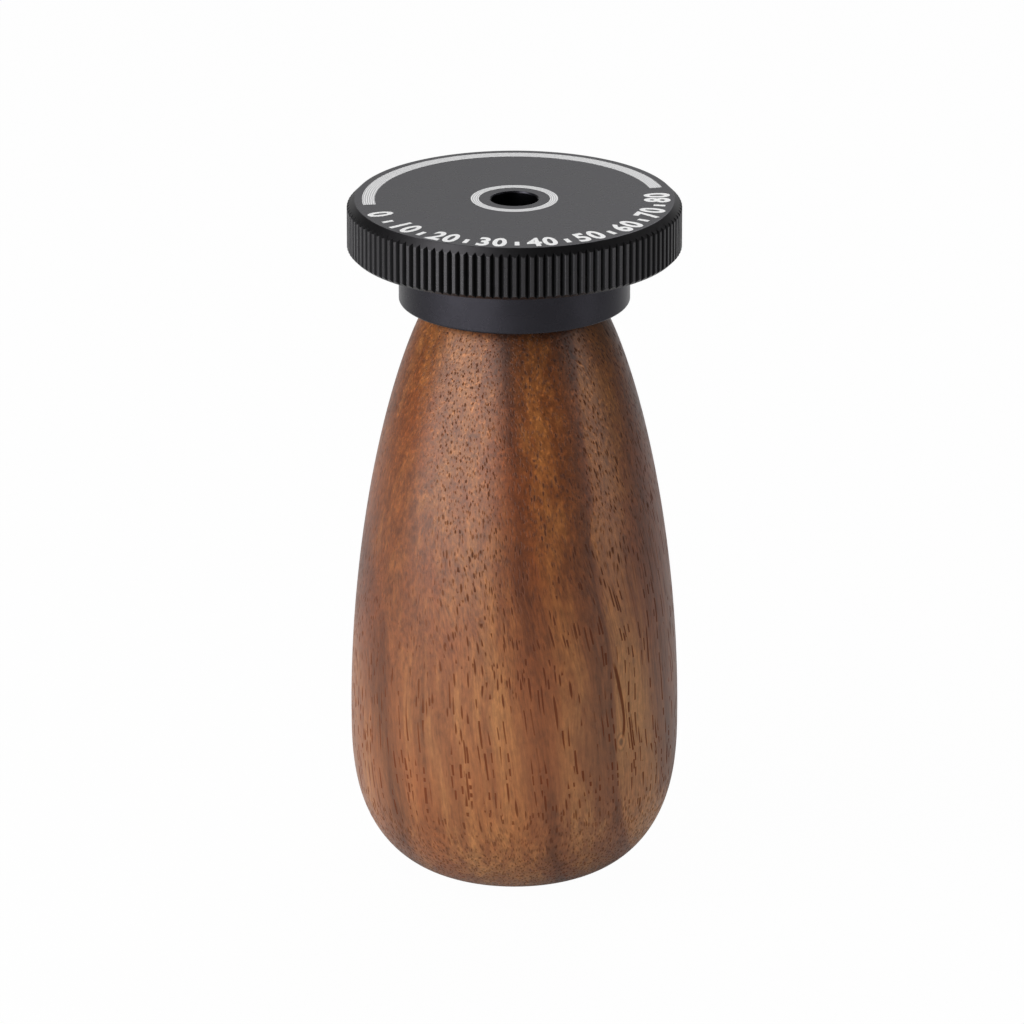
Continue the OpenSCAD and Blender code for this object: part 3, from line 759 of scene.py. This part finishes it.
def arcPlate(name, inner, outer, fromDegrees, toDegrees):
    # thin flat ring or part of one, closed on every side
    s = markSizes
    whole = toDegrees - fromDegrees >= 360
    steps = max(3, int((toDegrees - fromDegrees) / s["stepDegrees"]))
    points, faces = [], []
    rows = steps if whole else steps + 1
    for i in range(rows):
        a = math.radians(fromDegrees + (toDegrees - fromDegrees) * i / steps)
        for r, z in ((inner, s["low"]), (outer, s["low"]), (outer, s["top"]), (inner, s["top"])):
            points.append((r * mm * math.cos(a), r * mm * math.sin(a), z * mm))
    for i in range(steps):
        here, after = 4 * i, 4 * ((i + 1) % rows)
        for j in range(4):
            k = (j + 1) % 4
            faces.append((here + j, after + j, after + k, here + k))
    if not whole:
        faces += [(0, 1, 2, 3), tuple(4 * (rows - 1) + j for j in (3, 2, 1, 0))]
    mesh = bpy.data.meshes.new(name)
    mesh.from_pydata(points, [], faces)
    return mesh


def numberMesh(text, degrees):
    # upright as seen from outside the rim: the figure's foot is near the rim, and the line bends with it
    s = markSizes
    curve = bpy.data.curves.new("number" + text, "FONT")
    curve.body = text
    curve.align_x = "CENTER"
    curve.size = s["capHeight"] * s["fontPerCap"]
    curve.offset = s["numberBold"]
    curve.space_character = s["numberSpace"]
    curve.extrude = 0.5   # any depth does, because each point goes to the top or the bottom below
    curve.resolution_u = 4
    holder = bpy.data.objects.new("numberHolder", curve)
    bpy.context.scene.collection.objects.link(holder)
    bpy.context.view_layer.update()
    mesh = bpy.data.meshes.new_from_object(holder.evaluated_get(bpy.context.evaluated_depsgraph_get()))
    bpy.data.objects.remove(holder)
    middle = s["numberBase"] - s["capHeight"] / 2
    for vertex in mesh.vertices:
        x, y, z = vertex.co
        a = math.radians(degrees) + x * s["numberWidth"] / middle
        r = (s["numberBase"] - y) * mm
        vertex.co = (r * math.cos(a), r * math.sin(a), (s["top"] if z > 0 else s["low"]) * mm)
    return mesh


def joinMeshes(name, meshes, finish):
    points, faces = [], []
    for mesh in meshes:
        start = len(points)
        points += [v.co[:] for v in mesh.vertices]
        faces += [[start + i for i in face.vertices] for face in mesh.polygons]
    joined = bpy.data.meshes.new(name)
    joined.from_pydata(points, [], faces)
    joined.materials.append(finish)
    piece = bpy.data.objects.new(name, joined)
    bpy.context.scene.collection.objects.link(piece)
    return piece


def makeTickRing():
    # one tick, repeated round the axis
    tree, entry = newTree("ticksRoundAxis", [
        ("Count", "Int", 8), ("First angle", "Float", 0.0), ("Step angle", "Float", 0.1),
        ("Finish", "Material", None)])
    spots = addNode(tree, "GeometryNodeMeshLine", {"Count": entry.outputs["Count"], "Offset": (0, 0, 0)})
    index = addNode(tree, "GeometryNodeInputIndex")
    turn = addNode(tree, "ShaderNodeMath", {
        0: index, 1: entry.outputs["Step angle"], 2: entry.outputs["First angle"]}, operation="MULTIPLY_ADD")
    rotation = addNode(tree, "ShaderNodeCombineXYZ", {2: turn})
    ticks = addNode(tree, "GeometryNodeInstanceOnPoints", {
        "Points": spots, "Instance": entry.outputs["Geometry"], "Rotation": rotation})
    real = addNode(tree, "GeometryNodeRealizeInstances", {0: ticks})
    painted = addNode(tree, "GeometryNodeSetMaterial", {
        "Geometry": real, "Material": entry.outputs["Finish"]})
    addNode(tree, "NodeGroupOutput", {0: painted})
    return tree


def tickMesh():
    s = markSizes
    half = math.degrees(s["tickWidth"] / 2 / s["tick"][0])
    return arcPlate("tick", s["tick"][0], s["tick"][1], -half, half)


print("marks")
s = markSizes
bands = joinMeshes("topMarks", [
    arcPlate("holeRing", s["ring"][0], s["ring"][1], 0, 360),
    arcPlate("rimBand", s["band"][0], s["band"][1], s["bandFrom"], s["bandTo"])], etchedBand)
figures = joinMeshes("dialNumbers", [
    numberMesh(str(s["numberStep"] * i), s["firstNumber"] + s["numberAngle"] * i)
    for i in range(s["numbers"])], etchedFigure)
ticks = bakeNodes("dialTicks", tickMesh(), makeTickRing(), {
    "Count": s["numbers"] - 1, "First angle": math.radians(s["firstNumber"] + s["numberAngle"] / 2),
    "Step angle": math.radians(s["numberAngle"]), "Finish": etchedFigure})
for piece in (bands, figures, ticks):
    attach(piece, "turntable")


# floor, light and camera

print("studio")
studio = {
    "floor": "E2E2E2", "floorGlow": 0.98, "floorHalf": 4,   # metres
    # softboxes: azimuth from the camera's side to the right, elevation of the middle and tilt in degrees,
    # size in metres, distance in metres from the aim, and radiance as seen in a mirror
    "aim": (0, 0, 40 * mm),
    "softboxes": {
        "key": (-50, 18.5, 0, (0.42, 0.27), 0.316, 3.15),
        "top": (-68, 61, 61, (0.25, 0.15), 0.5, 4.2),
        "side": (74, 12, 5, (0.16, 0.22), 0.33, 1.3),
        "backRight": (155, 46, 46, (0.25, 0.2), 0.5, 5.0),
        "backLeft": (-155, 46, 46, (0.2, 0.16), 0.5, 2.2)},
    # backdrop: how much the sky gives in front and behind, what gloss sees of it and of the floor's white,
    # and where it ends to the sides and above
    "skyFrom": 0.07, "skyTo": 0.64, "skyMirror": 0.7, "floorMirror": 0.14,
    "skySides": (0.74, 0.96), "skyHeights": (0.38, 0.58),
    # camera, fitted to the photograph: place and clips in metres, lens and sensor in mm
    "place": (-0.00027, -1.0, 0.3972), "lookDown": 70.41, "lens": 334.70, "sensor": 36, "clips": (0.05, 20),
}


def lightPaths(tree):
    # the light path, and 1 where the background is seen in gloss or through glass
    path = addNode(tree, "ShaderNodeLightPath")
    mirrored = addNode(tree, "ShaderNodeMath", {
        0: path.outputs["Is Glossy Ray"], 1: path.outputs["Is Transmission Ray"]}, operation="MAXIMUM")
    return path, mirrored


def makeFloor():
    mesh = bpy.data.meshes.new("floor")
    half = studio["floorHalf"]
    mesh.from_pydata(
        [(-half, -half, 0), (half, -half, 0), (half, half, 0), (-half, half, 0)], [], [(0, 1, 2, 3)])
    floor = bpy.data.objects.new("floor", mesh)
    bpy.context.scene.collection.objects.link(floor)
    material, tree = startMaterial("paperMattPale")
    paper = addNode(tree, "ShaderNodeBsdfDiffuse", {"Color": linearColour(studio["floor"])})
    glow = addNode(tree, "ShaderNodeEmission", {"Strength": 1.0})
    path, mirrored = lightPaths(tree)
    seen = addNode(tree, "ShaderNodeMath", {
        0: path.outputs["Is Camera Ray"], 1: studio["floorGlow"]}, operation="MULTIPLY")
    share = addNode(tree, "ShaderNodeMath", {
        0: mirrored, 1: studio["floorMirror"], 2: seen}, operation="MULTIPLY_ADD")
    both = addNode(tree, "ShaderNodeMixShader", {0: share, 1: paper, 2: glow})
    finishMaterial(tree, both)
    mesh.materials.append(material)


def awayFrom(azimuth, elevation):
    a, e = math.radians(azimuth), math.radians(elevation)
    return Vector((math.sin(a) * math.cos(e), -math.cos(a) * math.cos(e), math.sin(e)))


def makeSoftbox(name, azimuth, elevation, tilt, size, distance, radiance):
    width, height = size
    light = bpy.data.lights.new(name + "Softbox", "AREA")
    light.shape = "RECTANGLE"
    light.size, light.size_y = width, height
    light.energy = radiance * math.pi * width * height
    lamp = bpy.data.objects.new(name + "Softbox", light)
    lamp.location = Vector(studio["aim"]) + awayFrom(azimuth, elevation) * distance
    lamp.rotation_euler = awayFrom(azimuth, tilt).to_track_quat("Z", "Y").to_euler()
    lamp.visible_camera = False
    bpy.context.scene.collection.objects.link(lamp)


def makeWorld():
    world = bpy.data.worlds.new("studio")
    world.use_nodes = True
    tree = world.node_tree
    tree.nodes.clear()
    # pale backdrop behind the object, dim on the camera's side
    sight = addNode(tree, "ShaderNodeTexCoord").outputs["Generated"]
    direction = addNode(tree, "ShaderNodeSeparateXYZ", {0: sight})
    limits = [addNode(tree, "ShaderNodeMapRange", {
        "Value": direction.outputs[axis], "From Min": studio[part][0], "From Max": studio[part][1],
        "To Min": first, "To Max": 1.0 - first}, interpolation_type="SMOOTHSTEP")
        for axis, part, first in (("Y", "skySides", 0.0), ("Z", "skyHeights", 1.0))]
    share = addNode(tree, "ShaderNodeMath", dict(enumerate(limits)), operation="MULTIPLY")
    path, mirrored = lightPaths(tree)
    brightest = addNode(tree, "ShaderNodeMix", {
        "Factor": mirrored, "A": studio["skyTo"], "B": studio["skyMirror"]}, data_type="FLOAT")
    light = addNode(tree, "ShaderNodeMapRange", {
        "Value": share, "To Min": studio["skyFrom"], "To Max": brightest})
    seen = addNode(tree, "ShaderNodeMix", {
        "Factor": path.outputs["Is Camera Ray"], "A": light, "B": 1.0}, data_type="FLOAT")
    sky = addNode(tree, "ShaderNodeBackground", {"Color": linearColour("FFFFFF"), "Strength": seen})
    addNode(tree, "ShaderNodeOutputWorld", {"Surface": sky})
    bpy.context.scene.world = world


makeFloor()
for name, box in studio["softboxes"].items():
    makeSoftbox(name, *box)
makeWorld()

camera = bpy.data.cameras.new("camera")
camera.sensor_width = studio["sensor"]
camera.lens = studio["lens"]
camera.clip_start, camera.clip_end = studio["clips"]
viewpoint = bpy.data.objects.new("camera", camera)
viewpoint.location = studio["place"]
viewpoint.rotation_euler = (math.radians(studio["lookDown"]), 0, 0)
bpy.context.scene.collection.objects.link(viewpoint)
bpy.context.scene.camera = viewpoint
bpy.context.scene.view_settings.view_transform = "Standard"

print("finish")
